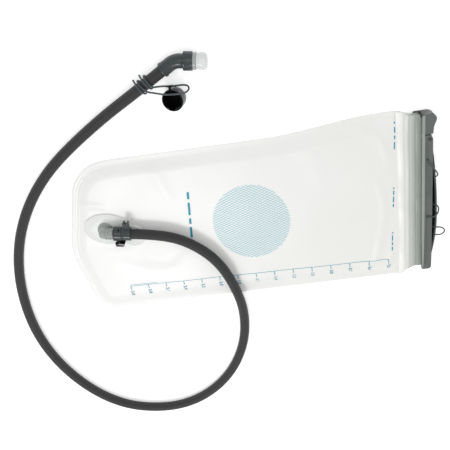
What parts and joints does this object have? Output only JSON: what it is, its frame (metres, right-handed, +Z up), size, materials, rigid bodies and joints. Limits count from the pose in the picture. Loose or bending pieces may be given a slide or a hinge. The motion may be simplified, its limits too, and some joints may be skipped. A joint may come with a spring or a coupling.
{
  "type": "hydration bladder",
  "caption": "Flexible three-litre drinking reservoir with a slide-off folded top, push-button hose outlet, insulated hose, bite valve and tethered dust cap.",
  "frame": {"origin": "bottom centre of the bag and slider's box on the surface that the bag lies on, without the hose and what is on it", "axes": "+X from the bag's rounded bottom end to the slider, +Y across the bag, +Z up"},
  "size_m": [0.513, 0.4812, 0.0237],
  "materials": {
    "film": "clear-milky flexible film, smooth with soft creases",
    "rail": "moulded mid grey plastic",
    "port": "moulded pale translucent plastic",
    "grey_plastic": "moulded grey plastic",
    "button": "moulded near-black plastic",
    "collar": "moulded grey plastic",
    "seal": "black rubber",
    "spring_steel": "bright steel wire",
    "tube": "clear flexible tube",
    "cover": "woven cover",
    "lace": "round cord",
    "cap": "moulded flexible plastic",
    "bite_silicone": "soft silicone"
  },
  "bodies": {
    "bag": {"back_film": "film", "front_film": "film", "folded_top": "film", "closure_bead": "rail", "port_flange": "port", "port_neck": "port", "socket_body": "grey_plastic", "socket_seal": "seal", "poppet_spring": "spring_steel", "button_spring": "spring_steel"},
    "slider": {"slider_frame": "rail", "slider_bar": "rail", "bar_pin": "grey_plastic", "slider_lace": "lace", "hang_loop": "lace"},
    "button": {"release_button": "button"},
    "poppet": {"shutoff_poppet": "grey_plastic"},
    "hose": {"plug_body": "grey_plastic", "drink_tube": "tube", "hose_cover": "cover", "cap_tether": "lace"},
    "bite_elbow": {"elbow_body": "grey_plastic", "valve_seals": "seal"},
    "shutoff": {"twist_collar": "collar", "valve_core": "port", "mouthpiece_ring": "port", "mouthpiece": "bite_silicone"},
    "cap": {"dust_cap": "cap"}
  },
  "joints": [
    {"name": "slider_slide", "type": "slide", "parent": "bag", "child": "slider", "axis": [0, 1, 0], "range_m": [0, 0.19]},
    {"name": "button_press", "type": "slide", "parent": "bag", "child": "button", "axis": [0.165, 0.9863, 0], "range_m": [0, 0.0014], "stiffness_N_per_m": 300, "deforming": ["button_spring"]},
    {"name": "plug_pull", "type": "slide", "parent": "bag", "child": "hose", "axis": [0.9863, -0.165, 0], "range_m": [0, 0.022]},
    {"name": "poppet_lift", "type": "slide", "parent": "bag", "child": "poppet", "axis": [0.9863, -0.165, 0], "range_m": [0, 0.0024], "deforming": ["poppet_spring"]},
    {"name": "valve_swivel", "type": "hinge", "parent": "hose", "child": "bite_elbow", "pos_m": [-0.0502, 0.1802, 0.0092], "axis": [0.8813, 0.4726, 0], "continuous": true},
    {"name": "shutoff_twist", "type": "hinge", "parent": "bite_elbow", "child": "shutoff", "pos_m": [-0.03742, 0.18705, 0.0092], "axis": [0.9848, -0.1736, 0], "range_deg": [0, 90]},
    {"name": "cap_swing", "type": "hinge", "parent": "hose", "child": "cap", "pos_m": [-0.0415, 0.1632, 0.012], "axis": [0, 0, 1], "range_deg": [-10, 10]}
  ],
  "couplings": [
    {"joint": "poppet_lift", "follows": "plug_pull", "ratio": 0.109}
  ]
}
